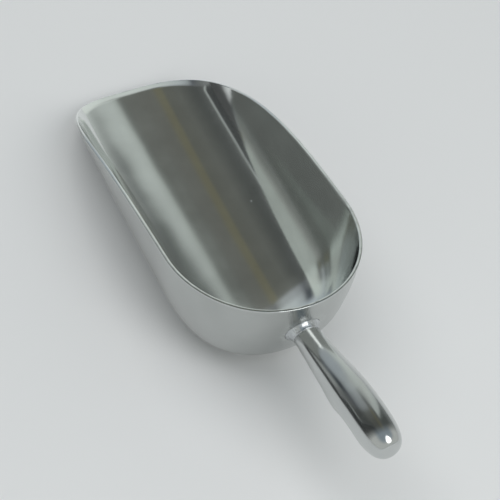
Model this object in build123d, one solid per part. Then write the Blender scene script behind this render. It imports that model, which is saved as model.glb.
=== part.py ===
from build123d import *
import math
import os

# Ice scoop of cast aluminium: a thin round-bottomed bowl with a finger-grip handle welded to its back.
# The lip points along +Y, the handle along -Y, and +Z is up. X = 0 is the plane of symmetry.
# Until the last step the origin is under the bowl's widest section, at the lowest point of the floor.

# Bowl
HALF_WIDTH = 60.5           # half the width across the walls
DEPTH = 75.0                # from the floor to the rim at the widest section
BACK_LENGTH = 65.8          # from the widest section to the back wall
LIP_LENGTH = 176.2          # from the widest section to the lip, before its edge is rounded
WALL = 2.0
CORNER_UP = 2.47            # power of the section's curve in height: higher is a squarer corner
CORNER_ACROSS = 2.89        # power of the section's curve across the width
SECTION_STEPS = 8           # intervals of the curve from the floor's middle to the rim
LIP_NARROWING = 0.048       # share of the width lost between the widest section and the lip
LIP_RISE = 5.2              # how far the floor climbs by the lip
LOFT_STATIONS = (0.0, 0.35, 0.7, 1.05)  # sections of the trough, as shares of the lip's length

# Rim line in side view, from the back wall to the lip: (y, z)
RIM_BACK = (-BACK_LENGTH, 84.8)
RIM_WIDEST = (0.0, DEPTH)
RIM_SHOULDER = (87.4, 56.8)
RIM_BEND = (125.8, 39.6)
RIM_NOSE = (152.0, 23.0)
RIM_LIP = (LIP_LENGTH, LIP_RISE)
RIM_RADIUS = 0.5            # rounding of the rim's two edges
CLEAR = 30.0                # how far cutting shapes reach past the bowl
ON_CUT = 0.001              # an edge this close to the cutting shape lies on the rim
EDGE_SAMPLES = (0.2, 0.5, 0.8)  # places along an edge where that is tested

# Handle, a round bar along a straight axis that leaves the back wall
ROOT_HEIGHT = 57.9          # where the axis meets the back wall
HANDLE_PITCH = 12.0         # degrees that the axis climbs
HANDLE_REACH = 87.4         # from the wall to the middle of the round end
ROOT_RADIUS = 8.2
GRIP_RADIUS = 12.0
END_RADIUS = 11.7
TAPER_END = 62.0            # distance from the wall where the bar reaches its full thickness
TOP_SWELL = 0.8             # how much more the bar's back stands up over the palm
SWELL_MIDDLE = 68.0
SWELL_HALF = 36.0
FINGER_GROOVES = ((38.5, 12.0, 2.3), (70.0, 18.0, 5.0))  # underside: middle, half length, depth
ROOT_SINK = 6.0             # length of bar drawn inside the wall before it is trimmed
HANDLE_SECTIONS = 17

# Weld bead around the root of the handle
BEAD_LEG_WALL = 2.2         # leg of the bead along the wall
BEAD_LEG_HANDLE = 3.2       # leg of the bead along the handle
BEAD_BULGE = 0.3            # how far the bead's face stands out between its toes
BEAD_STEP = 0.25            # height of the bead's end where it meets the handle
BEAD_SINK = 1.5             # length of bead drawn inside the wall before it is trimmed


def section_half(half_width, bottom):
    """Curve from the floor's middle up to the widest point of one wall, in the XZ plane."""
    points = []
    for step in range(SECTION_STEPS + 1):
        angle = math.pi / 2 * step / SECTION_STEPS
        across = half_width * math.sin(angle) ** (2 / CORNER_ACROSS)
        down = math.cos(angle) ** (2 / CORNER_UP)
        points.append((across, 0, DEPTH - (DEPTH - bottom) * down))
    return Spline(*points, tangents=[(1, 0, 0), (0, 0, 1)])


def trough_section(half_width, bottom):
    """Closed section of the trough, open walls carried straight up past the rim."""
    curve = section_half(half_width, bottom)
    top = DEPTH + CLEAR
    right = curve + Line((half_width, 0, DEPTH), (half_width, 0, top))
    left = mirror(right, about=Plane.YZ)
    lid = Line((half_width, 0, top), (-half_width, 0, top))
    return make_face(right + left + lid)


def back_end(half_width, back_length, bottom):
    """Doubly curved back: half a turn of the section, stretched to the back wall's distance."""
    top = DEPTH + CLEAR
    outline = section_half(half_width, bottom) + Polyline(
        (half_width, 0, DEPTH), (half_width, 0, top), (0, 0, top), (0, 0, bottom)
    )
    turned = revolve(make_face(outline), axis=Axis.Z, revolution_arc=-180)
    return scale(turned, by=(1, back_length / half_width, 1))


def trough(inset):
    """Solid filled to above the rim: the bowl's outer form, or its hollow when inset by the wall."""
    sections = []
    for share in LOFT_STATIONS:
        half_width = HALF_WIDTH * (1 - LIP_NARROWING * share**2) - inset
        face = trough_section(half_width, LIP_RISE * share**2 + inset)
        sections.append(Pos(0, LIP_LENGTH * share, 0) * face)
    front = loft(sections)
    return front + back_end(HALF_WIDTH - inset, BACK_LENGTH - inset, inset)


def above_rim():
    """Everything over the rim line, as a block across the whole bowl."""
    slope = math.atan2(RIM_NOSE[1] - RIM_LIP[1], RIM_LIP[0] - RIM_NOSE[0])
    past_lip = (RIM_LIP[0] + CLEAR * math.cos(slope), RIM_LIP[1] - CLEAR * math.sin(slope))
    behind = (RIM_BACK[0] - CLEAR, RIM_BACK[1] + CLEAR * (RIM_BACK[1] - DEPTH) / BACK_LENGTH)
    top = DEPTH + 2 * CLEAR
    rim = Spline(*[(0, y, z) for y, z in (behind, RIM_BACK, RIM_WIDEST, RIM_SHOULDER, RIM_BEND,
                                          RIM_NOSE, RIM_LIP, past_lip)])
    sides = Polyline((0, *past_lip), (0, past_lip[0], top), (0, behind[0], top), (0, *behind))
    return extrude(make_face(rim + sides), amount=HALF_WIDTH + CLEAR, dir=(1, 0, 0), both=True)


def handle_plane(distance):
    """Plane square to the handle's axis, with its y direction up and away from the bowl's floor."""
    pitch = math.radians(HANDLE_PITCH)
    along = Vector(0, -math.cos(pitch), math.sin(pitch))
    root = Vector(0, -BACK_LENGTH, ROOT_HEIGHT)
    return Plane(origin=root + along * distance, x_dir=(1, 0, 0), z_dir=along)


def on_surface(edge, shape):
    """Whether an edge lies on the surface of a shape that it was cut by."""
    return all(shape.distance_to(edge @ share) < ON_CUT for share in EDGE_SAMPLES)


def make_bowl(outer):
    """Thin bowl, open above and at the lip, with both edges of its rim rounded."""
    cut = above_rim()
    bowl = outer - trough(WALL) - cut
    rim_edges = [edge for edge in bowl.edges() if on_surface(edge, cut)]
    return fillet(rim_edges, RIM_RADIUS)


def hump(distance, middle, half_length):
    """Smooth rise from 0 to 1 and back, centred on middle."""
    share = min(abs(distance - middle) / half_length, 1)
    return math.cos(math.pi / 2 * share) ** 2


def bar_radius(distance):
    """Half thickness of the bar before its grooves, growing smoothly from root to grip to end."""
    if distance > TAPER_END:
        share = (distance - TAPER_END) / (HANDLE_REACH - TAPER_END)
        return GRIP_RADIUS + (END_RADIUS - GRIP_RADIUS) * share**2
    share = max(distance, 0) / TAPER_END
    return ROOT_RADIUS + (GRIP_RADIUS - ROOT_RADIUS) * share**2 * (3 - 2 * share)


def handle_section(distance):
    """Oval section of the bar: swollen above, hollowed below where a finger lies."""
    radius = bar_radius(distance)
    above = radius + TOP_SWELL * hump(distance, SWELL_MIDDLE, SWELL_HALF)
    below = radius - sum(depth * hump(distance, *place) for *place, depth in FINGER_GROOVES)
    oval = scale(Circle(1), by=(radius, (above + below) / 2, 1))
    return handle_plane(distance) * Pos(0, (above - below) / 2) * oval


def make_handle(outer):
    """Finger-grip bar with a round end, trimmed to the back wall."""
    spacing = (HANDLE_REACH + ROOT_SINK) / (HANDLE_SECTIONS - 1)
    bar = loft([handle_section(spacing * index - ROOT_SINK) for index in range(HANDLE_SECTIONS)])
    end = handle_plane(HANDLE_REACH).location * Sphere(END_RADIUS)
    return bar + end - outer


def make_bead(outer, handle):
    """Ring of weld in the corner between the back wall and the handle."""
    wall = Plane(origin=handle_plane(0).origin, x_dir=(1, 0, 0), z_dir=(0, -1, 0))
    sections = [
        wall * Pos(0, 0, -BEAD_SINK) * Circle(ROOT_RADIUS + BEAD_LEG_WALL + BEAD_SINK),
        handle_plane(BEAD_LEG_HANDLE / 2) * Circle(ROOT_RADIUS + BEAD_LEG_WALL / 2 + BEAD_BULGE),
        handle_plane(BEAD_LEG_HANDLE) * Circle(ROOT_RADIUS + BEAD_STEP),
    ]
    return loft(sections) - handle - outer


outer_form = trough(0)
bowl = make_bowl(outer_form)
handle = make_handle(outer_form)
bead = make_bead(outer_form, handle)
whole = Compound([bowl, handle, bead]).bounding_box()
to_middle = Pos(0, -whole.center().Y, -whole.min.Z)

os.makedirs("parts", exist_ok=True)
for name, piece in {"bowl": bowl, "handle": handle, "handle_weld": bead}.items():
    export_step(to_middle * piece, f"parts/{name}.step")
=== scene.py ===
"""Visual model of a cast aluminium ice scoop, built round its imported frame.

The file is laid out as an add-on and is run as a script. The lip points along +Y, the handle along -Y,
+Z is up, X = 0 is the plane of symmetry, and every length is in metres unless its name says otherwise.
"""
import math

import bmesh
import bpy
import numpy as np
from bpy.props import FloatProperty, FloatVectorProperty, PointerProperty
from mathutils import Matrix, Vector, noise


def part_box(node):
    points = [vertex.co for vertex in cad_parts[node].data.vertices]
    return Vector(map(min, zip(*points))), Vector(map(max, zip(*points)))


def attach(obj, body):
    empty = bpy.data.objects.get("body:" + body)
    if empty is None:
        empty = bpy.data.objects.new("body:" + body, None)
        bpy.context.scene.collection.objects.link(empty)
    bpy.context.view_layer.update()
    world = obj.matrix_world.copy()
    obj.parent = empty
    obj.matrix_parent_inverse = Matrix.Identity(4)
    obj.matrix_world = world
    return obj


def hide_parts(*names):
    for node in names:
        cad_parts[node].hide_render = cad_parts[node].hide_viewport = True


bl_info = {
    "name": "Ice Scoop",
    "version": (1, 0, 0),
    "blender": (4, 5, 0),
    "location": "View3D > Sidebar > Ice Scoop",
    "description": "Builds a cast aluminium ice scoop with a welded finger-grip handle",
    "category": "Add Mesh",
}

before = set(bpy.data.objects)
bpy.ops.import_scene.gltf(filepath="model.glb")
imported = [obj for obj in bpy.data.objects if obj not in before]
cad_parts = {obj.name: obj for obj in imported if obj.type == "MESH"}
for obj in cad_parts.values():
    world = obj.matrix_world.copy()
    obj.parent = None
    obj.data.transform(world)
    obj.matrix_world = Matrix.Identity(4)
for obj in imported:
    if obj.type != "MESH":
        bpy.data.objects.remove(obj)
bpy.context.view_layer.update()
BOWL_LOW, BOWL_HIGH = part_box("bowl")

MM = 0.001
WIDEST_TO_BACK = 65.8 * MM      # from the widest section to the back wall
WIDEST_Y = BOWL_LOW.y + WIDEST_TO_BACK

# Rim line in side view, between its back, its widest section and its lip: (along, height)
RIM_SHOULDER = (87.4 * MM, 56.8 * MM)
RIM_BEND = (125.8 * MM, 39.6 * MM)
RIM_NOSE = (152.0 * MM, 23.0 * MM)

# Bowl mesh
AROUND_CELLS = 240              # from the back wall's middle round one side to the lip's middle
DOWN_CELLS = 66                 # from the rim down to the middle of the floor
RIM_ROW = 1.0 * MM              # width of the row of faces next to the rim
ROW_LENGTH = 100.0 * MM         # usual length of a column of faces, from the floor to the rim
ROW_SPREAD = 1.3                # evens out the rows, which the section's curve crowds at the floor
RIM_STEPS = 400                 # places along the rim where its length is measured
RIM_ROUND_SEGMENTS = 3
SPINE_SHARE = 0.72              # how far along the floor the mesh rows fan out towards the lip
SPINE_TURN = 0.72               # share of the rim's length reached when they start to fan out
SAME_POINT = 1e-7            # points closer than this are one point

# Back of the bowl: the fullness of its corners is whole near the floor and mostly gone near the rim
FULLNESS_AT_RIM = 0.15
FULLNESS_FADES_FROM = 0.75      # shares of the depth
FULLNESS_FADES_OVER = 0.5

# Hand finish: length of each wave, and the seed that sets its pattern
WALL_WAVE = (22.0 * MM, 3.1)
INNER_WAVE = (30.0 * MM, 5.3)
FILE_WAVE_SHORT = (4.5 * MM, 7.7)
FILE_WAVE_LONG = (15.0 * MM, 1.9)
FILE_WAVE_LONG_HEIGHT = 0.6
WALL_BIAS = 0.4                 # keeps the wavy wall inside its smooth form
FILE_BIAS = 0.8                 # keeps the filed rim below its smooth line
FILED_FROM = 0.97               # share of the way up the wall where the file starts to show

# Where the casting is ground thinner, as shares of the lip's length and of the way up the wall
THIN_LIP_FROM = 0.80
THIN_LIP_OVER = 0.18
THIN_EDGE_FROM = 0.90
THIN_AWAY_FROM_LIP = 0.15       # share of the lip's thinning that the rest of the rim gets

# Handle
ROOT_HEIGHT = 57.9 * MM
FINGER_GROOVES = (              # below the bar: middle, half length, depth
    (38.5 * MM, 12.0 * MM, 2.0 * MM),
    (69.4 * MM, 18.0 * MM, 6.8 * MM))
TOP_SWELL = 1.5 * MM            # how much more the bar stands up over the palm
SWELL_MIDDLE = 64.0 * MM
SWELL_HALF = 44.0 * MM
TAPER_END = 62.0 * MM           # the bar is thickest here, and the round end starts
END_SQUARENESS = 3.5            # power of the round end's profile: 2 would be an ellipse
HANDLE_SIDES = 96
HANDLE_RINGS = 150
ROUND_END_RINGS = 0.42          # share of the rings that lie on the round end
SUNK_RINGS = 1.5                # rings, counted from the root, that are let into the wall
POLE = 1e-6                     # a point this close to the axis is the pole of the mesh

# Weld
WELD_SIDES = 144
WELD_PROFILE = 24
WELD_RING = 3                   # radius of the unit ring that the mesh is spun on
WELD_BURIED = 0.8 * MM          # how far the weld reaches into the wall and the bar
WELD_HOLLOW = 1.5               # power of the weld's face: 1 would be flat, more is hollow
WELD_UNEVEN = (0.25, 1.0, 2.3)  # how much its legs vary, over what part of a turn, and the seed
WELD_FACE_END = 1.0             # quarter turns round the section to the toe on the bar
WELD_FOOT_END = 2.5             # quarter turns to the buried corner
LUMP_LARGE = (2.6 * MM, 4.2)    # size and seed of the lumps
LUMP_SMALL = (1.2 * MM, 9.1)
LUMP_SMALL_HEIGHT = 0.6
LUMP_BIAS = 0.5


class BowlSizes(bpy.types.PropertyGroup):
    """Sizes of the cast bowl."""

    half_width: FloatProperty(
        name="Half width", description="Half the bowl's width across its walls",
        default=BOWL_HIGH.x, unit="LENGTH")
    depth: FloatProperty(
        name="Depth", description="Height of the rim over the floor at the widest section",
        default=75.0 * MM, unit="LENGTH")
    lip_length: FloatProperty(
        name="Lip length", description="From the widest section to the lip",
        default=175.4 * MM, unit="LENGTH")
    wall: FloatProperty(
        name="Wall", description="Thickness of the casting", default=2.0 * MM, unit="LENGTH")
    lip_wall: FloatProperty(
        name="Lip wall", description="Thickness that the lip is ground down to",
        default=1.2 * MM, unit="LENGTH")
    rim_round: FloatProperty(
        name="Rim rounding", description="Radius broken on both edges of the rim",
        default=0.4 * MM, unit="LENGTH")
    corner_up: FloatProperty(
        name="Corner, up", description="Power of the section's curve in height", default=2.47)
    corner_across: FloatProperty(
        name="Corner, across", description="Power of the section's curve across the width",
        default=2.89)
    lip_corner: FloatProperty(
        name="Lip corner", description="How much squarer the section is at the lip", default=0.40)
    back_fullness: FloatProperty(
        name="Back fullness", description="How far the back's corners swell past an ellipse, as a share",
        default=0.042)
    lip_narrowing: FloatProperty(
        name="Lip narrowing", description="Share of the width lost by the lip", default=0.048)
    lip_rise: FloatProperty(
        name="Lip rise", description="How far the floor climbs by the lip",
        default=5.2 * MM, unit="LENGTH")
    rim_waver: FloatProperty(
        name="Rim waver", description="How far the hand-filed rim strays from its line",
        default=0.12 * MM, unit="LENGTH")
    wall_waver: FloatProperty(
        name="Wall waver", description="How far the hand-finished walls stray from their curve",
        default=0.03 * MM, unit="LENGTH")


class HandleSizes(bpy.types.PropertyGroup):
    """Sizes of the handle and of the weld at its root."""

    root_height: FloatProperty(
        name="Root height", description="Height where the handle's axis meets the back wall",
        default=ROOT_HEIGHT, unit="LENGTH")
    pitch: FloatProperty(
        name="Pitch", description="Climb of the handle's axis", default=math.radians(11.6),
        unit="ROTATION")
    reach: FloatProperty(
        name="Reach", description="From the wall to the tip of the round end",
        default=99.3 * MM, unit="LENGTH")
    root_radius: FloatProperty(
        name="Root radius", description="Half thickness at the wall", default=8.2 * MM, unit="LENGTH")
    grip_radius: FloatProperty(
        name="Grip radius", description="Half thickness in the hand", default=12.3 * MM, unit="LENGTH")
    root_sink: FloatProperty(
        name="Root sink", description="How deep the bar is let into the wall",
        default=0.8 * MM, unit="LENGTH")
    weld_on_wall: FloatProperty(
        name="Weld on wall", description="Leg of the weld along the wall",
        default=3.0 * MM, unit="LENGTH")
    weld_on_handle: FloatProperty(
        name="Weld on handle", description="Leg of the weld along the handle",
        default=4.6 * MM, unit="LENGTH")
    weld_lumps: FloatProperty(
        name="Weld lumps", description="Height of the dressed weld's lumps",
        default=0.35 * MM, unit="LENGTH")


class FinishColours(bpy.types.PropertyGroup):
    """Colours of the metal and of the floor."""

    casting: FloatVectorProperty(
        name="Casting", description="Colour of the bowl's satin outside", subtype="COLOR",
        default=(0.475, 0.49, 0.48))
    inside: FloatVectorProperty(
        name="Inside", description="Colour of the bowl's polished inside", subtype="COLOR",
        default=(0.84, 0.86, 0.845))
    buffed: FloatVectorProperty(
        name="Buffed metal", description="Colour of the handle's buffed metal", subtype="COLOR",
        default=(0.56, 0.575, 0.57))
    weld: FloatVectorProperty(
        name="Weld", description="Colour of the dressed weld", subtype="COLOR",
        default=(0.54, 0.56, 0.57))
    floor: FloatVectorProperty(
        name="Floor", description="Colour of the studio floor", subtype="COLOR",
        default=(0.80, 0.80, 0.80))


class ScoopSettings(bpy.types.PropertyGroup):
    """Everything that a user would change."""

    bowl: PointerProperty(type=BowlSizes)
    handle: PointerProperty(type=HandleSizes)
    finish: PointerProperty(type=FinishColours)


# ---------------------------------------------------------------- forms

def cubic_through(knots):
    """Smooth function through (place, value) knots: a natural cubic spline."""
    place, value = np.array(knots).T
    step = np.diff(place)
    count = len(place)
    system = np.eye(count)
    right = np.zeros(count)
    for i in range(1, count - 1):
        system[i, i - 1:i + 2] = step[i - 1], 2 * (step[i - 1] + step[i]), step[i]
        right[i] = 6 * ((value[i + 1] - value[i]) / step[i] - (value[i] - value[i - 1]) / step[i - 1])
    bend = np.linalg.solve(system, right)

    def at(x):
        i = int(np.clip(np.searchsorted(place, x) - 1, 0, count - 2))
        before, after, h = x - place[i], place[i + 1] - x, step[i]
        curved = (bend[i] * after**3 + bend[i + 1] * before**3) / (6 * h)
        level = (value[i] / h - bend[i] * h / 6) * after
        return curved + level + (value[i + 1] / h - bend[i + 1] * h / 6) * before
    return at


def smooth_share(value):
    """0 to 1, eased at both ends."""
    share = min(max(value, 0.0), 1.0)
    return share * share * (3 - 2 * share)


class BowlForm:
    """The bowl's outer surface. Lengths along the bowl start at its widest section."""

    def __init__(self, sizes):
        self.sizes = sizes
        self.back = WIDEST_TO_BACK
        self.rim = cubic_through([
            (-self.back, BOWL_HIGH.z), (0.0, sizes.depth), RIM_SHOULDER, RIM_BEND, RIM_NOSE,
            (sizes.lip_length, sizes.lip_rise)])

    def half_width(self, along):
        share = along / self.sizes.lip_length
        return self.sizes.half_width * (1 - self.sizes.lip_narrowing * share**2)

    def floor(self, along):
        return self.sizes.lip_rise * (along / self.sizes.lip_length)**2

    def corner_across(self, along):
        """Power of the section's curve across the width: squarer towards the lip."""
        return self.sizes.corner_across + self.sizes.lip_corner * (along / self.sizes.lip_length) ** 2

    def angle_at(self, height, floor):
        """The section's angle where it reaches a height, up to a quarter turn."""
        share = min(max((self.sizes.depth - height) / (self.sizes.depth - floor), 0.0), 1.0)
        return math.acos(min(share ** (self.sizes.corner_up / 2), 1.0))

    def section(self, angle, half_width, floor, along=0.0):
        """Distance from the middle and height of a point. Past a quarter turn the wall is upright."""
        curved = min(angle, math.pi / 2)
        across = half_width * math.sin(curved) ** (2 / self.corner_across(along))
        drop = max(math.cos(curved), 0.0) ** (2 / self.sizes.corner_up)
        height = self.sizes.depth - (self.sizes.depth - floor) * drop
        return across, height + max(angle - math.pi / 2, 0.0) * self.sizes.depth

    def rim_angle(self, along, floor):
        """The section's angle at the rim line."""
        height = self.rim(along)
        if height <= self.sizes.depth:
            return self.angle_at(height, floor)
        return math.pi / 2 + (height - self.sizes.depth) / self.sizes.depth

    def back_point(self, turn, share):
        """Point of the round back: turn runs from 0 beside the widest section to a quarter turn behind."""
        stretch = self.back / self.sizes.half_width
        rim_along = -math.sin(turn) * self.back
        angle = spread(share) * self.rim_angle(rim_along, 0.0)
        across, height = self.section(angle, self.sizes.half_width, 0.0)
        fade = smooth_share((FULLNESS_FADES_FROM - height / self.sizes.depth) / FULLNESS_FADES_OVER)
        low = FULLNESS_AT_RIM + (1 - FULLNESS_AT_RIM) * fade
        across *= 1 + self.sizes.back_fullness * low * math.sin(2 * turn) ** 2
        return Vector((math.cos(turn) * across, WIDEST_Y - math.sin(turn) * across * stretch, height))

    def front_point(self, along, angle):
        """Point of the straight trough."""
        across, height = self.section(angle, self.half_width(along), self.floor(along), along)
        return Vector((across, WIDEST_Y + along, height))

    def wall_y(self, x, z):
        """Where the back wall's outer face is, at a place on it."""
        turned = self.angle_at(z, 0.0)
        across = self.sizes.half_width * math.sin(turned) ** (2 / self.sizes.corner_across)
        stretch = self.back / self.sizes.half_width
        return WIDEST_Y - stretch * math.sqrt(max(across**2 - x**2, 0.0))


def spread(share):
    """Share of the section's angle for a share of its rows."""
    return share ** ROW_SPREAD


def rim_line(form):
    """The rim from the widest section to the lip's middle, as (along, angle) by share of its length."""
    # Equal steps of the section's angle close to the lip, equal lengths along the bowl elsewhere.
    turns = [math.pi / 2 * step / RIM_STEPS for step in range(RIM_STEPS + 1)]
    stops = [form.sizes.lip_length * math.sin(turn) for turn in turns]
    angles = [form.rim_angle(along, form.floor(along)) for along in stops]
    points = [form.front_point(along, angle) for along, angle in zip(stops, angles)]
    lengths = np.cumsum([0.0] + [(b - a).length for a, b in zip(points, points[1:])])
    shares = lengths / lengths[-1]

    def at(share):
        return float(np.interp(share, shares, stops)), float(np.interp(share, shares, angles))
    return at


def row_share(share):
    """Rows from the floor's middle, 0, to the rim, 1, the last of them narrow."""
    last = 1 - 1 / DOWN_CELLS
    edge = 1 - RIM_ROW / ROW_LENGTH
    if share >= last:
        return edge + (1 - edge) * (share - last) / (1 - last)
    return edge * share / last


# ---------------------------------------------------------------- mesh helpers

def finish_mesh(bm, name, material, node):
    """Makes a smooth-shaded piece from the bmesh and hands it to the frame."""
    for face in bm.faces:
        face.smooth = True
    mesh = bpy.data.meshes.new(name)
    bm.to_mesh(mesh)
    bm.free()
    mesh.materials.append(material)
    piece = bpy.data.objects.new(name, mesh)
    bpy.context.scene.collection.objects.link(piece)
    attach(piece, "root")
    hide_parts(node)
    return piece


def waver(place, size, seed):
    """Smooth random value from -1 to 1 that changes over lengths of about size."""
    return noise.noise(Vector(place) / size + Vector((seed, 2 * seed, 3 * seed)))


# ---------------------------------------------------------------- bowl

def half_bowl(form):
    """Outer skin of the bowl's right half."""
    bm = bmesh.new()
    bmesh.ops.create_grid(bm, x_segments=AROUND_CELLS, y_segments=DOWN_CELLS, size=1)
    rim_at = rim_line(form)
    spine = form.sizes.lip_length * SPINE_SHARE
    to_rim = bm.verts.layers.float.new("to_rim")
    for vert in bm.verts:
        around = vert.co.x
        share = row_share((vert.co.y + 1) / 2)
        vert[to_rim] = share
        if around <= 0:
            vert.co = form.back_point(-around * math.pi / 2, share)
        else:
            rim_along, rim_angle = rim_at(around)
            spine_along = spine * min(around / SPINE_TURN, 1)
            along = spine_along + (rim_along - spine_along) * share
            vert.co = form.front_point(along, rim_angle * spread(share))
        if abs(vert.co.x) < SAME_POINT:
            vert.co.x = 0
    bmesh.ops.remove_doubles(bm, verts=bm.verts[:], dist=SAME_POINT)
    return bm


def close_skin(bm):
    """Mirrors the half skin and turns its faces outwards."""
    geometry = bm.verts[:] + bm.edges[:] + bm.faces[:]
    bmesh.ops.mirror(bm, geom=geometry, axis="X", merge_dist=SAME_POINT)
    bmesh.ops.remove_doubles(bm, verts=bm.verts[:], dist=SAME_POINT)
    bmesh.ops.recalc_face_normals(bm, faces=bm.faces[:])
    lowest = min(bm.faces, key=lambda face: face.calc_center_median().z)
    if lowest.normal.z > 0:
        bmesh.ops.reverse_faces(bm, faces=bm.faces[:])


def hand_finish(bm, sizes):
    """Lets the walls and the filed rim stray a little from their curves."""
    to_rim = bm.verts.layers.float["to_rim"]
    bm.normal_update()
    moves = []
    for vert in bm.verts:
        inward = vert.normal * (sizes.wall_waver * (waver(vert.co, *WALL_WAVE) - WALL_BIAS))
        rim_share = smooth_share((vert[to_rim] - FILED_FROM) / (1 - FILED_FROM))
        filed = waver(vert.co, *FILE_WAVE_SHORT) - FILE_BIAS
        filed += FILE_WAVE_LONG_HEIGHT * waver(vert.co, *FILE_WAVE_LONG)
        moves.append(inward + Vector((0, 0, sizes.rim_waver * filed * rim_share)))
    for vert, move in zip(bm.verts, moves):
        vert.co += move


def wall_at(place, rim_share, sizes):
    """Wall thickness: full on the floor and walls, ground thinner towards the lip's edge."""
    along = (place.y - WIDEST_Y) / sizes.lip_length
    lip = smooth_share((along - THIN_LIP_FROM) / THIN_LIP_OVER)
    edge = smooth_share((rim_share - THIN_EDGE_FROM) / (1 - THIN_EDGE_FROM))
    thinning = THIN_AWAY_FROM_LIP + (1 - THIN_AWAY_FROM_LIP) * lip
    return sizes.wall - (sizes.wall - sizes.lip_wall) * edge * thinning


def add_inner_skin(bm, sizes):
    """Adds the inner wall and the rim's flat, and marks which is which."""
    inner_place = bm.verts.layers.float_vector.new("inner_place")
    inside = bm.verts.layers.float.new("inside")
    to_rim = bm.verts.layers.float["to_rim"]
    bm.normal_update()
    for vert in bm.verts:
        wall = wall_at(vert.co, vert[to_rim], sizes)
        wall += sizes.wall_waver * waver(vert.co, *INNER_WAVE)
        vert[inner_place] = vert.co - vert.normal * wall
        if abs(vert.co.x) < SAME_POINT:
            vert[inner_place].x = 0
    skin = bm.verts[:] + bm.edges[:] + bm.faces[:]
    copy = bmesh.ops.duplicate(bm, geom=skin)["geom"]
    for element in copy:
        if isinstance(element, bmesh.types.BMVert):
            element.co = element[inner_place]
            element[inside] = 1.0
    inner_faces = [element for element in copy if isinstance(element, bmesh.types.BMFace)]
    bmesh.ops.reverse_faces(bm, faces=inner_faces)
    edges = [edge for edge in bm.edges if edge.is_boundary]
    flat = bmesh.ops.bridge_loops(bm, edges=edges)["faces"]
    bm.verts.layers.float_vector.remove(bm.verts.layers.float_vector["inner_place"])
    return edges, flat


def round_rim(bm, edges, flat, radius):
    """Breaks both edges of the rim and marks its ground faces."""
    rim = bm.verts.layers.float.new("rim")
    flat_verts = {vert for face in flat for vert in face.verts}
    rounded = bmesh.ops.bevel(
        bm, geom=edges, offset=radius, offset_type="OFFSET", segments=RIM_ROUND_SEGMENTS,
        profile=0.5, affect="EDGES", material=-1, clamp_overlap=True)
    for vert in rounded["verts"]:
        vert[rim] = 1.0
    for vert in flat_verts:
        if vert.is_valid:
            vert[rim] = 1.0


def build_bowl(sizes, material):
    """The cast bowl."""
    bm = half_bowl(BowlForm(sizes))
    close_skin(bm)
    hand_finish(bm, sizes)
    edges, flat = add_inner_skin(bm, sizes)
    round_rim(bm, edges, flat, sizes.rim_round)
    bm.verts.layers.float.remove(bm.verts.layers.float["to_rim"])
    return finish_mesh(bm, "cast_bowl", material, "bowl")


# ---------------------------------------------------------------- handle

class HandleForm:
    """The bar's surface, in distances along its axis from the back wall."""

    def __init__(self, sizes):
        self.sizes = sizes
        self.root = Vector((0, BOWL_LOW.y, sizes.root_height))
        self.along = Vector((0, -math.cos(sizes.pitch), math.sin(sizes.pitch)))
        self.up = Vector((0, math.sin(sizes.pitch), math.cos(sizes.pitch)))

    def radius(self, distance):
        growth = self.sizes.grip_radius - self.sizes.root_radius
        return self.sizes.root_radius + growth * smooth_share(distance / TAPER_END)

    def point(self, distance, side, rise, scale=1.0):
        """Point of the section at a distance, in the direction (side, rise)."""
        radius = self.radius(distance)
        if rise > 0:
            half = radius + TOP_SWELL * hump(distance, SWELL_MIDDLE, SWELL_HALF)
        else:
            half = radius - sum(depth * hump(distance, *place) for *place, depth in FINGER_GROOVES)
        place = self.root + self.along * distance + self.up * (half * scale * rise)
        return place + Vector((radius * scale * side, 0, 0))


def hump(distance, middle, half_length):
    """Smooth rise from 0 to 1 and back, centred on middle."""
    share = min(abs(distance - middle) / half_length, 1)
    return math.cos(math.pi / 2 * share) ** 2


def build_handle(sizes, bowl, material):
    """The finger-grip bar, with its root let into the back wall."""
    form = HandleForm(sizes)
    wall = BowlForm(bowl)
    bm = bmesh.new()
    bmesh.ops.create_uvsphere(bm, u_segments=HANDLE_SIDES, v_segments=HANDLE_RINGS, radius=1)
    straight = 1 - ROUND_END_RINGS
    for vert in bm.verts:
        ring = math.acos(max(-1.0, min(1.0, vert.co.z))) / math.pi
        flat = math.hypot(vert.co.x, vert.co.y)
        side, rise = (vert.co.x / flat, vert.co.y / flat) if flat > POLE else (0.0, 0.0)
        if ring <= straight:
            place = form.point(TAPER_END * ring / straight, side, rise)
        else:
            share = math.sin(math.pi / 2 * (ring - straight) / ROUND_END_RINGS)
            full = max(1 - share**END_SQUARENESS, 0.0) ** (1 / END_SQUARENESS)
            place = form.point(TAPER_END + (sizes.reach - TAPER_END) * share, side, rise, full)
        if ring * HANDLE_RINGS < SUNK_RINGS:
            place.y = wall.wall_y(place.x, place.z) + sizes.root_sink
        vert.co = place
    bmesh.ops.remove_doubles(bm, verts=bm.verts[:], dist=SAME_POINT)
    bmesh.ops.recalc_face_normals(bm, faces=bm.faces[:])
    return finish_mesh(bm, "finger_grip_handle", material, "handle")


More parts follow.
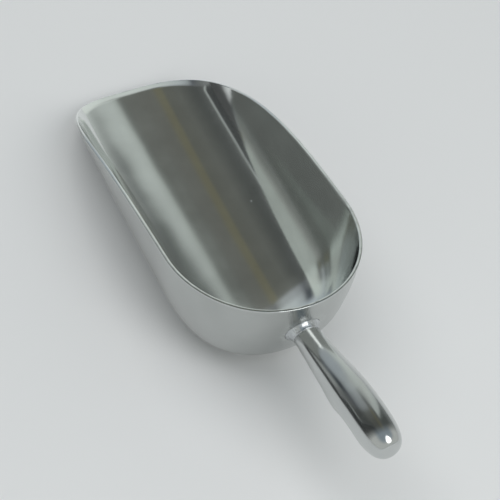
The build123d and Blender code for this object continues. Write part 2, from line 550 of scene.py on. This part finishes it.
def build_weld(sizes, bowl, material):
    """Dressed weld bead in the corner between the back wall and the handle."""
    form = HandleForm(sizes)
    wall = BowlForm(bowl)
    bm = bmesh.new()
    ring = bmesh.ops.create_circle(bm, segments=WELD_PROFILE, radius=1)["verts"]
    bmesh.ops.rotate(bm, verts=ring, matrix=Matrix.Rotation(math.pi / 2, 3, "X"))
    bmesh.ops.translate(bm, verts=ring, vec=(WELD_RING, 0, 0))
    bmesh.ops.spin(
        bm, geom=bm.verts[:] + bm.edges[:], cent=(0, 0, 0), axis=(0, 0, 1),
        angle=2 * math.pi, steps=WELD_SIDES, use_merge=True)
    for vert in bm.verts:
        away = math.hypot(vert.co.x, vert.co.y)
        side, rise = vert.co.x / away, vert.co.y / away
        climb = math.atan2(vert.co.z, away - WELD_RING) % (2 * math.pi) / (math.pi / 2)
        vert.co = weld_point(form, wall, sizes, side, rise, climb)
    bmesh.ops.remove_doubles(bm, verts=bm.verts[:], dist=SAME_POINT)
    bmesh.ops.recalc_face_normals(bm, faces=bm.faces[:])
    return finish_mesh(bm, "root_weld", material, "handle_weld")


def weld_section(sizes, climb, uneven):
    """Stand off the wall, reach off the bar and lump height, at quarter turns from the toe on the wall."""
    on_wall, on_handle = sizes.weld_on_wall * uneven, sizes.weld_on_handle * uneven
    if climb <= WELD_FACE_END:
        lump = sizes.weld_lumps * hump(climb, WELD_FACE_END / 2, WELD_FACE_END / 2)
        return on_handle * climb**WELD_HOLLOW, on_wall * (1 - climb)**WELD_HOLLOW, lump
    if climb <= WELD_FOOT_END:
        share = (climb - WELD_FACE_END) / (WELD_FOOT_END - WELD_FACE_END)
        return on_handle - (on_handle + WELD_BURIED) * share, -WELD_BURIED * share, 0.0
    share = (climb - WELD_FOOT_END) / (4 - WELD_FOOT_END)
    return WELD_BURIED * (share - 1), (on_wall + WELD_BURIED) * share - WELD_BURIED, 0.0


def weld_point(form, wall, sizes, side, rise, climb):
    """Point of the weld, in a direction round the bar and at quarter turns round its section."""
    uneven_by, uneven_over, seed = WELD_UNEVEN
    uneven = 1 + uneven_by * waver((side, rise, 0.0), uneven_over, seed)
    stand, reach, lump = weld_section(sizes, climb, uneven)
    distance = (stand + sizes.root_radius * rise * math.sin(sizes.pitch)) / math.cos(sizes.pitch)
    outward = (form.up * rise + Vector((side, 0, 0))).normalized()
    place = form.point(distance, side, rise) + outward * reach
    place.y = wall.wall_y(place.x, place.z) - stand
    rough = LUMP_BIAS + waver(place, *LUMP_LARGE) + LUMP_SMALL_HEIGHT * waver(place, *LUMP_SMALL)
    return place + (outward + form.along).normalized() * (lump * rough)


# ---------------------------------------------------------------- shader groups

MM_PER_METRE = 1000.0
COARSE_GRAIN = 0.23             # scale of the coarse grain against the fine one
FINE_SHARE = 0.6                # share of the grain's height that is fine
FLECKS = (0.35, 0.65)           # each pair is where a noise starts to count and where it counts in full
SCRATCHES = (0.66, 0.74)
CLOUDS = (0.3, 0.7)
SPARSE_LINES = 0.35             # scale of the scratches against the fine lines
PIT_REACH = (0.03, 0.07)        # smallest and largest pit, as shares of their spacing


def new_group(name, inputs, outputs):
    """Empty shader node group with named float, vector or colour sockets."""
    kinds = {"value": "NodeSocketFloat", "vector": "NodeSocketVector", "colour": "NodeSocketColor"}
    group = bpy.data.node_groups.new(name, "ShaderNodeTree")
    for socket, kind, default in inputs:
        made = group.interface.new_socket(socket, in_out="INPUT", socket_type=kinds[kind])
        if default is not None:
            made.default_value = default
    for socket, kind in outputs:
        group.interface.new_socket(socket, in_out="OUTPUT", socket_type=kinds[kind])
    sheet = Sheet(group)
    taken = group.nodes.new("NodeGroupInput").outputs
    given = group.nodes.new("NodeGroupOutput").inputs
    return group, sheet, taken, given


class Sheet:
    """Short calls to add and join the nodes of one tree."""

    def __init__(self, tree):
        self.tree = tree

    def add(self, kind, sets=None, **inputs):
        """New node. sets holds its own settings; inputs are values or the output to link."""
        node = self.tree.nodes.new("ShaderNode" + kind)
        for key, value in (sets or {}).items():
            setattr(node, key, value)
        return self.fill(node, inputs)

    def fill(self, node, inputs):
        """Sets or links a node's inputs, each by its name or, as in i0, by its place."""
        for key, value in inputs.items():
            socket = node.inputs[int(key[1:]) if key[1:].isdigit() else key.replace("_", " ")]
            if isinstance(value, bpy.types.NodeSocket):
                self.tree.links.new(value, socket)
            else:
                socket.default_value = value
        return node

    def math(self, operation, a, b=0.0, clamp=False):
        """One Math node's result."""
        return self.add("Math", {"operation": operation, "use_clamp": clamp}, i0=a, i1=b).outputs[0]

    def remap(self, value, low, high, to_low=0.0, to_high=1.0):
        """Value from one range to another, held at its ends."""
        node = self.add("MapRange", {"clamp": True}, i0=value, i1=low, i2=high, i3=to_low, i4=to_high)
        return node.outputs[0]

    def mix(self, share, a, b):
        """Mixes two colours."""
        node = self.add("Mix", {"data_type": "RGBA"}, i0=share, i6=a, i7=b)
        return node.outputs[2]

    def scale(self, colour, factor):
        """Colour times a value."""
        node = self.add("VectorMath", {"operation": "SCALE"}, i0=colour)
        self.tree.links.new(factor, node.inputs["Scale"])
        return node.outputs[0]

    def ramp(self, value, stops):
        """Colour by stops from -90 to 90 degrees, spread over a value from 0 to 1."""
        node = self.add("ValToRGB", Fac=value)
        elements = node.color_ramp.elements
        while len(elements) < len(stops):
            elements.new(1.0)
        for element, (angle, colour) in zip(elements, stops):
            element.position = (angle + 90) / 180
            element.color = (*colour, 1.0)
        return node.outputs["Color"]

    def noise(self, vector, scale, detail=2.0, roughness=0.5):
        """Noise value from about 0 to 1."""
        node = self.add("TexNoise", Vector=vector, Scale=scale, Detail=detail, Roughness=roughness)
        return node.outputs["Fac"]

    def group(self, group, **inputs):
        """A node group with its own input values."""
        node = self.tree.nodes.new("ShaderNodeGroup")
        node.node_tree = group
        return self.fill(node, inputs)


def make_grain_group():
    """Fine skin of a tumbled casting."""
    group, sheet, taken, given = new_group(
        "casting_grain",
        [("Vector", "vector", None), ("Grain size mm", "value", 0.5)],
        [("Height", "value"), ("Fleck", "value")])
    scale = sheet.math("DIVIDE", MM_PER_METRE, taken["Grain size mm"])
    fine = sheet.noise(taken["Vector"], scale, detail=3.0, roughness=0.6)
    coarse = sheet.noise(taken["Vector"], sheet.math("MULTIPLY", scale, COARSE_GRAIN), detail=2.0)
    height = sheet.math("ADD", sheet.math("MULTIPLY", fine, FINE_SHARE),
                        sheet.math("MULTIPLY", coarse, 1 - FINE_SHARE))
    fleck = sheet.remap(fine, *FLECKS)
    group.links.new(height, given["Height"])
    group.links.new(fleck, given["Fleck"])
    return group


def make_pit_group():
    """Scattered pin holes of a sand casting."""
    group, sheet, taken, given = new_group(
        "casting_pits",
        [("Vector", "vector", None), ("Spacing mm", "value", 9.0), ("Share", "value", 0.12)],
        [("Pit", "value")])
    scale = sheet.math("DIVIDE", MM_PER_METRE, taken["Spacing mm"])
    cells = sheet.add("TexVoronoi", {"feature": "F1"}, Vector=taken["Vector"], Scale=scale)
    chance = sheet.add("SeparateColor", Color=cells.outputs["Color"])
    chosen = sheet.math("LESS_THAN", chance.outputs[0], taken["Share"])
    reach = sheet.remap(chance.outputs[1], 0.0, 1.0, *PIT_REACH)
    hole = sheet.remap(cells.outputs["Distance"], 0.0, reach, 1.0, 0.0)
    group.links.new(sheet.math("MULTIPLY", hole, chosen), given["Pit"])
    return group


def make_scratch_group():
    """Fine lines left by a file or a buffing wheel, drawn along one axis."""
    group, sheet, taken, given = new_group(
        "worked_lines",
        [("Vector", "vector", None), ("Stretch", "vector", (1.0, 1.0, 1.0)), ("Line size mm", "value", 0.3)],
        [("Height", "value"), ("Scratch", "value")])
    drawn = sheet.add("VectorMath", {"operation": "MULTIPLY"}, i0=taken["Vector"],
                      i1=taken["Stretch"]).outputs[0]
    scale = sheet.math("DIVIDE", MM_PER_METRE, taken["Line size mm"])
    lines = sheet.noise(drawn, scale, detail=4.0, roughness=0.65)
    sparse = sheet.noise(drawn, sheet.math("MULTIPLY", scale, SPARSE_LINES), detail=1.0)
    scratch = sheet.remap(sparse, *SCRATCHES)
    group.links.new(lines, given["Height"])
    group.links.new(scratch, given["Scratch"])
    return group


def make_cloud_group():
    """Slow patches of handling and oxide."""
    group, sheet, taken, given = new_group(
        "handling_clouds",
        [("Vector", "vector", None), ("Patch size mm", "value", 30.0)],
        [("Cloud", "value")])
    scale = sheet.math("DIVIDE", MM_PER_METRE, taken["Patch size mm"])
    cloud = sheet.noise(taken["Vector"], scale, detail=3.0, roughness=0.55)
    group.links.new(sheet.remap(cloud, *CLOUDS), given["Cloud"])
    return group


# ---------------------------------------------------------------- materials

# Casting: pairs are for its outside and its inside, and heights of its relief are in millimetres
CASTING_ROUGHNESS = (0.21, 0.09)
CASTING_GRAIN_MM = (0.010, 0.0022)
CASTING_LINES_MM = (0.006, 0.0006)
CASTING_CLOUD_SHADE = (0.94, 1.05)
CLOUD_ROUGHNESS = 0.02
FLECK_ROUGHNESS = 0.02
FLECK_SHADE = 0.05
# Pin holes inside the bowl are darkened: painted shade in the holes
PIT_PAINTED_SHADE = 0.7
PIT_DEPTH_MM = 0.25
# Brighter ground rim: partly its ground metal, partly a painted highlight along the rim
RIM_GROUND_AND_PAINTED_HIGHLIGHT = 0.2

# Patch of the casting that was dressed with the weld
DRESSED_REACH = (17.0 * MM, 10.0 * MM)  # from the handle's root: where it starts and where it is full
DRESSED_MARKS = (0.42, 0.62)
DRESSED_MARK_SCALE = 420.0
DRESSED_SHADE = 0.35
DRESSED_HEIGHT_MM = 0.10

# Handle and weld
BUFFED_SHADE = (0.96, 1.04)
BUFFED_ROUGHNESS = (0.10, 0.17)
BUFFED_GRAIN_MM = 0.004
BUFFED_LINES_MM = 0.003
WELD_SHADE = (0.8, 1.15)
WELD_ROUGHNESS = (0.16, 0.34)
WELD_GRAIN_MM = 0.25

# Floor: where the metal beside the lip sees it at a low angle, glossy rays see a painted dark reflection
# instead of the pale floor
FLOOR_ROUGHNESS = 0.7
FLOOR_MOTTLE = 0.985
FLOOR_MOTTLE_SCALE = 3.0
FLOOR_LOW_ANGLE = (0.66, 0.80)
FLOOR_BESIDE_LIP_X = (-0.03, -0.07)
FLOOR_BESIDE_LIP_Y = (0.10, 0.15)
FLOOR_PAINTED_DARK_REFLECTION = 0.08


def new_material(name):
    """Empty material with its Principled shader and Object coordinates."""
    material = bpy.data.materials.new(name)
    material.use_nodes = True
    tree = material.node_tree
    tree.nodes.clear()
    sheet = Sheet(tree)
    shader = sheet.add("BsdfPrincipled")
    output = sheet.add("OutputMaterial")
    tree.links.new(shader.outputs[0], output.inputs["Surface"])
    place = sheet.add("TexCoord").outputs["Object"]
    shader.inputs["Metallic"].default_value = 1.0
    return sheet, shader, place


def tint(colour, factor):
    """Colour times a factor, with alpha."""
    return (*(channel * factor for channel in colour), 1.0)


def finish_shader(sheet, shader, body, rough, height, depth_mm=1.0):
    """Joins a metal's colour, roughness and relief to its shader."""
    bump = sheet.add("Bump", Height=height, Strength=1.0, Distance=depth_mm * MM)
    sheet.fill(shader, {"Base_Color": body, "Roughness": rough, "Normal": bump.outputs[0]})


def casting_material(groups, satin, polished, root):
    """Bowl: polished casting inside, satin outside, ground rim made brighter, partly for its ground metal
    and partly as a painted highlight.
    """
    sheet, shader, place = new_material("cast_bowl_metal")
    inside = sheet.add("Attribute", {"attribute_name": "inside"}).outputs["Fac"]
    rim = sheet.add("Attribute", {"attribute_name": "rim"}).outputs["Fac"]
    grain = sheet.group(groups["grain"], Vector=place, Grain_size_mm=0.45)
    pits = sheet.group(groups["pits"], Vector=place, Spacing_mm=9.0, Share=0.10)
    lines = sheet.group(groups["lines"], Vector=place, Stretch=(1.0, 0.04, 1.0), Line_size_mm=0.5)
    clouds = sheet.group(groups["clouds"], Vector=place, Patch_size_mm=28.0)
    body = sheet.mix(inside, tint(satin, 1.0), tint(polished, 1.0))
    shade = sheet.remap(clouds.outputs["Cloud"], 0.0, 1.0, *CASTING_CLOUD_SHADE)
    shade = sheet.math("SUBTRACT", shade, sheet.math("MULTIPLY", grain.outputs["Fleck"], FLECK_SHADE))
    pit = sheet.math("MULTIPLY", pits.outputs["Pit"], inside)
    # Painted shade: the pin holes inside the bowl are darkened
    shade = sheet.math("SUBTRACT", shade, sheet.math("MULTIPLY", pit, PIT_PAINTED_SHADE))
    # The ground rim is made brighter: partly its ground metal, partly a painted highlight along the rim
    shade = sheet.math("ADD", shade, sheet.math("MULTIPLY", rim, RIM_GROUND_AND_PAINTED_HIGHLIGHT))
    away = sheet.add("VectorMath", {"operation": "DISTANCE"}, i0=place, i1=root).outputs["Value"]
    marks = sheet.noise(place, DRESSED_MARK_SCALE, detail=3.0, roughness=0.7)
    dressed = sheet.math("MULTIPLY", sheet.remap(away, *DRESSED_REACH), sheet.remap(marks, *DRESSED_MARKS))
    shade = sheet.math("ADD", shade, sheet.math("MULTIPLY", dressed, DRESSED_SHADE))
    body = sheet.scale(body, shade)
    rough = sheet.remap(inside, 0.0, 1.0, *CASTING_ROUGHNESS)
    rough = sheet.math("ADD", rough, sheet.math("MULTIPLY", clouds.outputs["Cloud"], CLOUD_ROUGHNESS))
    rough = sheet.math("ADD", rough, sheet.math("MULTIPLY", grain.outputs["Fleck"], FLECK_ROUGHNESS))
    grain_depth = sheet.remap(inside, 0.0, 1.0, *CASTING_GRAIN_MM)
    line_depth = sheet.remap(inside, 0.0, 1.0, *CASTING_LINES_MM)
    height = sheet.math("ADD", sheet.math("MULTIPLY", grain.outputs["Height"], grain_depth),
                        sheet.math("MULTIPLY", lines.outputs["Height"], line_depth))
    height = sheet.math("SUBTRACT", height, sheet.math("MULTIPLY", pit, PIT_DEPTH_MM))
    height = sheet.math("ADD", height, sheet.math("MULTIPLY", dressed, DRESSED_HEIGHT_MM))
    finish_shader(sheet, shader, body, rough, height)


def buffed_material(groups, colour):
    """Handle: buffed nearly to a mirror, with faint wheel lines and handling."""
    sheet, shader, place = new_material("buffed_handle_metal")
    grain = sheet.group(groups["grain"], Vector=place, Grain_size_mm=0.6)
    lines = sheet.group(groups["lines"], Vector=place, Stretch=(1.0, 0.08, 1.0), Line_size_mm=0.4)
    clouds = sheet.group(groups["clouds"], Vector=place, Patch_size_mm=16.0)
    body = sheet.mix(clouds.outputs["Cloud"], *(tint(colour, shade) for shade in BUFFED_SHADE))
    rough = sheet.remap(clouds.outputs["Cloud"], 0.0, 1.0, *BUFFED_ROUGHNESS)
    height = sheet.math("ADD", sheet.math("MULTIPLY", grain.outputs["Height"], BUFFED_GRAIN_MM),
                        sheet.math("MULTIPLY", lines.outputs["Height"], BUFFED_LINES_MM))
    finish_shader(sheet, shader, body, rough, height)


def weld_material(groups, colour):
    """Weld: mottled bright metal left by dressing."""
    sheet, shader, place = new_material("dressed_weld_metal")
    grain = sheet.group(groups["grain"], Vector=place, Grain_size_mm=1.1)
    clouds = sheet.group(groups["clouds"], Vector=place, Patch_size_mm=2.5)
    body = sheet.mix(clouds.outputs["Cloud"], *(tint(colour, shade) for shade in WELD_SHADE))
    rough = sheet.remap(clouds.outputs["Cloud"], 0.0, 1.0, *WELD_ROUGHNESS)
    finish_shader(sheet, shader, body, rough, grain.outputs["Height"], WELD_GRAIN_MM)


def floor_material(colour):
    """Matt floor, with a painted dark reflection that only the metal beside the lip sees."""
    sheet, shader, place = new_material("studio_floor")
    mottle = sheet.noise(place, FLOOR_MOTTLE_SCALE)
    body = sheet.mix(mottle, tint(colour, FLOOR_MOTTLE), tint(colour, 1.0))
    facing = sheet.add("LayerWeight", Blend=0.5).outputs["Facing"]
    axes = sheet.add("SeparateXYZ", Vector=place).outputs
    beside = sheet.math("MULTIPLY", sheet.remap(axes["X"], *FLOOR_BESIDE_LIP_X),
                        sheet.remap(axes["Y"], *FLOOR_BESIDE_LIP_Y))
    # Painted dark reflection: glossy rays from the metal beside the lip, at a low angle, see the floor
    # darkened
    painted_dark_reflection = sheet.math("MULTIPLY", sheet.add("LightPath").outputs["Is Glossy Ray"],
                          sheet.math("MULTIPLY", sheet.remap(facing, *FLOOR_LOW_ANGLE), beside))
    body = sheet.mix(painted_dark_reflection, body, tint(colour, FLOOR_PAINTED_DARK_REFLECTION))
    sheet.fill(shader, {"Metallic": 0.0, "Roughness": FLOOR_ROUGHNESS, "Base_Color": body})


def material_set(settings):
    """All finishes, each made once."""
    finish = settings.finish
    root = (0.0, BOWL_LOW.y, settings.handle.root_height)
    if "cast_bowl_metal" not in bpy.data.materials:
        groups = {
            "grain": make_grain_group(), "pits": make_pit_group(),
            "lines": make_scratch_group(), "clouds": make_cloud_group()}
        casting_material(groups, finish.casting, finish.inside, root)
        buffed_material(groups, finish.buffed)
        weld_material(groups, finish.weld)
        floor_material(finish.floor)
    return bpy.data.materials


# ---------------------------------------------------------------- stage

CAMERA_AZIMUTH = math.radians(-37.52)
CAMERA_ELEVATION = math.radians(53.36)
CAMERA_ROLL = math.radians(13.58)
CAMERA_DISTANCE = 1.0777
CAMERA_AIM = Vector((0.01362, 0.01352, 0.02020))
CAMERA_LENS_MM = 124.6
SENSOR_MM = 36.0
VIEW_LIMIT = 50.0
FLOOR_HALF = 4.0

# Softboxes: name, direction from the scoop, distance, width, height, radiance, seen in the metal
SOFTBOXES = (
    ("window_behind", (0.145, -0.63, 0.77), 1.6, 0.8, 1.4, 2.0, True),
    ("overhead_fill", (-0.2, 0.3, 1.0), 3.0, 3.0, 3.0, 1.15, False),
)

# The room's colours round the scoop, by angle from overhead: negative to the left, positive to the right
CEILING_STOPS = (
    (-90, (0.056, 0.060, 0.060)), (-79, (0.066, 0.070, 0.070)), (-78, (0.38, 0.41, 0.40)),
    (-76, (0.38, 0.41, 0.40)), (-74.5, (0.105, 0.112, 0.108)), (-62, (0.080, 0.086, 0.083)),
    (-50, (0.086, 0.092, 0.087)), (-25, (0.122, 0.128, 0.117)), (-1, (0.118, 0.122, 0.108)),
    (3, (0.152, 0.148, 0.106)), (9, (0.152, 0.148, 0.108)), (13, (0.138, 0.142, 0.128)),
    (21.5, (0.138, 0.142, 0.130)), (23.3, (0.100, 0.106, 0.098)), (25.4, (0.44, 0.48, 0.455)),
    (30, (0.49, 0.53, 0.51)), (90, (0.52, 0.56, 0.54)))
BETWEEN_STOPS = (
    (-60, (0.13, 0.135, 0.13)), (-50, (0.15, 0.16, 0.155)), (-38, (0.20, 0.21, 0.205)),
    (-14, (0.21, 0.22, 0.21)), (0, (0.27, 0.28, 0.27)), (12, (0.32, 0.335, 0.32)),
    (24, (0.40, 0.43, 0.41)), (45, (0.42, 0.45, 0.43)), (90, (0.46, 0.50, 0.48)))
SIDE_STOPS = (
    (-90, (0.12, 0.13, 0.12)), (44, (0.105, 0.116, 0.110)), (58, (0.112, 0.122, 0.118)),
    (66, (0.150, 0.162, 0.158)), (74, (0.20, 0.215, 0.21)), (90, (0.31, 0.33, 0.32)))
NEAR_FRONT_STOPS = (
    (-90, (0.24, 0.25, 0.25)), (-66, (0.15, 0.16, 0.16)), (-52, (0.13, 0.14, 0.15)),
    (-40, (0.26, 0.28, 0.29)), (-25, (0.33, 0.355, 0.365)), (-4, (0.34, 0.365, 0.37)),
    (3, (0.28, 0.30, 0.30)), (9, (0.17, 0.18, 0.18)), (14, (0.18, 0.19, 0.19)), (22, (0.32, 0.34, 0.33)),
    (35, (0.48, 0.51, 0.49)), (55, (0.62, 0.66, 0.63)), (90, (0.66, 0.70, 0.67)))
FRONT_STOPS = (
    (-90, (0.40, 0.42, 0.41)), (-78, (0.37, 0.39, 0.38)), (-70, (0.20, 0.22, 0.22)),
    (-62, (0.06, 0.07, 0.08)), (-53, (0.09, 0.10, 0.11)), (-42, (0.32, 0.35, 0.36)),
    (-22, (0.45, 0.49, 0.50)), (0, (0.50, 0.54, 0.54)), (25, (0.56, 0.60, 0.58)),
    (50, (0.64, 0.69, 0.66)), (90, (0.70, 0.75, 0.72)))
STRIP_BEND = 120.0              # how the left strip bends away behind the scoop
STRIP_BEND_FROM = 0.49
STRIP_BEND_TILT = (math.radians(-25), math.radians(-50))
PANEL_LEAN = 0.174              # the right panel's near edge runs a little out of square
PANEL_EDGE = (0.3790, 0.3725)
PANEL_SIDE = (0.60, 0.62)
PASSED_ON_ALONG = (0.54, 0.49)  # where light that crossed the bowl once is set apart
CEILING_BRIGHTER_ALONG = (0.42, 0.56, 0.90, 1.10)

# Where one wall of the room gives way to the next: heights for the first, places along Y for the rest
BEHIND_TO_TOP = (0.55, 0.85)
BEHIND_TO_CEILING = (0.05, 0.30)
CEILING_TO_NEAR_FRONT = (0.568, 0.596)
NEAR_FRONT_TO_FRONT = (0.66, 0.73)
FRONT_TO_GLOW = (0.80, 0.88)

GLOW_AHEAD = (0.42, 0.465, 0.495, 1.0)
ROOM_BEHIND = (0.60, 0.62, 0.60, 1.0)
ROOM_TOP = (0.30, 0.35, 0.385, 1.0)
BACKDROP = (0.72, 0.72, 0.72, 1.0)


def add_camera():
    """Camera over the left of the handle, looking down into the bowl."""
    sideways = Vector((math.cos(CAMERA_AZIMUTH), math.sin(CAMERA_AZIMUTH), 0))
    level = math.cos(CAMERA_ELEVATION)
    back = Vector((math.sin(CAMERA_AZIMUTH) * level, -math.cos(CAMERA_AZIMUTH) * level,
                   math.sin(CAMERA_ELEVATION)))
    upright = back.cross(sideways)
    right = math.cos(CAMERA_ROLL) * sideways + math.sin(CAMERA_ROLL) * upright
    up = math.cos(CAMERA_ROLL) * upright - math.sin(CAMERA_ROLL) * sideways
    camera = bpy.data.objects.new("scoop_camera", bpy.data.cameras.new("scoop_camera"))
    turned = Matrix((right, up, back)).transposed().to_4x4()
    camera.matrix_world = Matrix.Translation(CAMERA_AIM + back * CAMERA_DISTANCE) @ turned
    camera.data.lens = CAMERA_LENS_MM
    camera.data.sensor_width = SENSOR_MM
    camera.data.clip_end = VIEW_LIMIT
    bpy.context.scene.collection.objects.link(camera)
    bpy.context.scene.camera = camera


def add_softbox(name, direction, distance, width, height, radiance, in_metal):
    """Large soft panel that faces the scoop. in_metal says if the polished metal mirrors it."""
    data = bpy.data.lights.new(name, "AREA")
    data.shape = "ELLIPSE"
    data.size, data.size_y = width, height
    data.energy = radiance * width * height * math.pi
    lamp = bpy.data.objects.new(name, data)
    toward = Vector(direction).normalized()
    facing = toward.to_track_quat("Z", "Y").to_matrix().to_4x4()
    lamp.matrix_world = Matrix.Translation(toward * distance) @ facing
    lamp.visible_camera = False
    lamp.visible_glossy = in_metal
    bpy.context.scene.collection.objects.link(lamp)


def add_floor(material):
    """Pale floor under the scoop."""
    bm = bmesh.new()
    bmesh.ops.create_grid(bm, x_segments=1, y_segments=1, size=FLOOR_HALF)
    mesh = bpy.data.meshes.new("studio_floor")
    bm.to_mesh(mesh)
    bm.free()
    mesh.materials.append(material)
    floor = bpy.data.objects.new("studio_floor", mesh)
    bpy.context.scene.collection.objects.link(floor)


def add_world():
    """Room as the metal sees it: long panels overhead, a pale wall ahead, plain walls behind."""
    world = bpy.data.worlds.new("studio")
    world.use_nodes = True
    tree = world.node_tree
    tree.nodes.clear()
    sheet = Sheet(tree)
    axes = sheet.add("SeparateXYZ", Vector=sheet.add("TexCoord").outputs["Generated"]).outputs
    along = axes["Y"]
    tilt = sheet.math("ARCTAN2", axes["X"], axes["Z"])
    behind = sheet.math("MAXIMUM", sheet.math("SUBTRACT", STRIP_BEND_FROM, along), 0.0)
    bend = sheet.math("MULTIPLY", sheet.math("POWER", behind, 2.0), STRIP_BEND)
    bend = sheet.math("MULTIPLY", bend, sheet.remap(tilt, *STRIP_BEND_TILT))
    place = sheet.remap(sheet.math("SUBTRACT", tilt, bend), -math.pi / 2, math.pi / 2)
    ceiling = sheet.ramp(place, CEILING_STOPS)
    edge = sheet.math("SUBTRACT", along, sheet.math("MULTIPLY", axes["X"], PANEL_LEAN))
    past_panel = sheet.math("MULTIPLY", sheet.remap(edge, *PANEL_EDGE), sheet.remap(place, *PANEL_SIDE))
    ceiling = sheet.mix(past_panel, ceiling, sheet.ramp(place, SIDE_STOPS))
    ceiling = sheet.scale(ceiling, sheet.remap(along, *CEILING_BRIGHTER_ALONG))
    path = sheet.add("LightPath").outputs
    # The ray depth is 2 where the metal mirrors the room straight, 3 after one more bounce, and so on.
    depth = path["Ray Depth"]
    passed_on = sheet.scale(sheet.ramp(place, BETWEEN_STOPS), sheet.remap(depth, 3.0, 4.0, 1.0, 0.5))
    second = sheet.math("MULTIPLY", sheet.remap(depth, 2.0, 3.0), sheet.remap(along, *PASSED_ON_ALONG))
    ceiling = sheet.mix(second, ceiling, passed_on)
    back_wall = sheet.mix(sheet.remap(axes["Z"], *BEHIND_TO_TOP), ROOM_BEHIND, ROOM_TOP)
    room = sheet.mix(sheet.remap(along, *BEHIND_TO_CEILING), back_wall, ceiling)
    near_front, front = sheet.ramp(place, NEAR_FRONT_STOPS), sheet.ramp(place, FRONT_STOPS)
    room = sheet.mix(sheet.remap(along, *CEILING_TO_NEAR_FRONT), room, near_front)
    room = sheet.mix(sheet.remap(along, *NEAR_FRONT_TO_FRONT), room, front)
    room = sheet.mix(sheet.remap(along, *FRONT_TO_GLOW), room, GLOW_AHEAD)
    back = sheet.add("Background", Color=sheet.mix(path["Is Camera Ray"], room, BACKDROP), Strength=1.0)
    output = sheet.add("OutputWorld")
    tree.links.new(back.outputs[0], output.inputs["Surface"])
    bpy.context.scene.world = world


# ---------------------------------------------------------------- operators

class ScoopOperator:
    """What every operator here shares."""

    bl_options = {"REGISTER", "UNDO"}

    def settings(self, context):
        return context.scene.ice_scoop


class SCOOP_OT_stage(ScoopOperator, bpy.types.Operator):
    """Add the camera, the floor, the room and its soft lights"""

    bl_idname = "scoop.stage"
    bl_label = "Studio stage"

    def execute(self, context):
        add_camera()
        add_floor(material_set(self.settings(context))["studio_floor"])
        add_world()
        for softbox in SOFTBOXES:
            add_softbox(*softbox)
        context.scene.view_settings.view_transform = "Standard"
        return {"FINISHED"}


class SCOOP_OT_bowl(ScoopOperator, bpy.types.Operator):
    """Add the cast bowl with its ground rim"""

    bl_idname = "scoop.bowl"
    bl_label = "Cast bowl"

    def execute(self, context):
        settings = self.settings(context)
        build_bowl(settings.bowl, material_set(settings)["cast_bowl_metal"])
        return {"FINISHED"}


class SCOOP_OT_handle(ScoopOperator, bpy.types.Operator):
    """Add the buffed finger-grip handle"""

    bl_idname = "scoop.handle"
    bl_label = "Handle"

    def execute(self, context):
        settings = self.settings(context)
        material = material_set(settings)["buffed_handle_metal"]
        build_handle(settings.handle, settings.bowl, material)
        return {"FINISHED"}


class SCOOP_OT_weld(ScoopOperator, bpy.types.Operator):
    """Add the dressed weld round the handle's root"""

    bl_idname = "scoop.weld"
    bl_label = "Root weld"

    def execute(self, context):
        settings = self.settings(context)
        material = material_set(settings)["dressed_weld_metal"]
        build_weld(settings.handle, settings.bowl, material)
        return {"FINISHED"}


class SCOOP_PT_panel(bpy.types.Panel):
    """Lists the scoop's pieces in the sidebar"""

    bl_idname = "SCOOP_PT_panel"
    bl_label = "Ice Scoop"
    bl_space_type = "VIEW_3D"
    bl_region_type = "UI"
    bl_category = "Ice Scoop"

    def draw(self, context):
        for operator in OPERATORS:
            self.layout.operator(operator.bl_idname)
        settings = context.scene.ice_scoop
        for group in (settings.bowl, settings.handle, settings.finish):
            box = self.layout.box()
            for name in group.__annotations__:
                box.prop(group, name)


OPERATORS = (SCOOP_OT_stage, SCOOP_OT_bowl, SCOOP_OT_handle, SCOOP_OT_weld)
CLASSES = (BowlSizes, HandleSizes, FinishColours, ScoopSettings, *OPERATORS, SCOOP_PT_panel)


def register():
    """Registers the classes and hangs the settings on the scene."""
    for cls in CLASSES:
        bpy.utils.register_class(cls)
    bpy.types.Scene.ice_scoop = PointerProperty(type=ScoopSettings)


def unregister():
    """Takes everything away again."""
    del bpy.types.Scene.ice_scoop
    for cls in reversed(CLASSES):
        bpy.utils.unregister_class(cls)


def main():
    """Builds the whole scene."""
    register()
    bpy.ops.scoop.stage()
    bpy.ops.scoop.bowl()
    bpy.ops.scoop.handle()
    bpy.ops.scoop.weld()


if __name__ == "__main__":
    main()
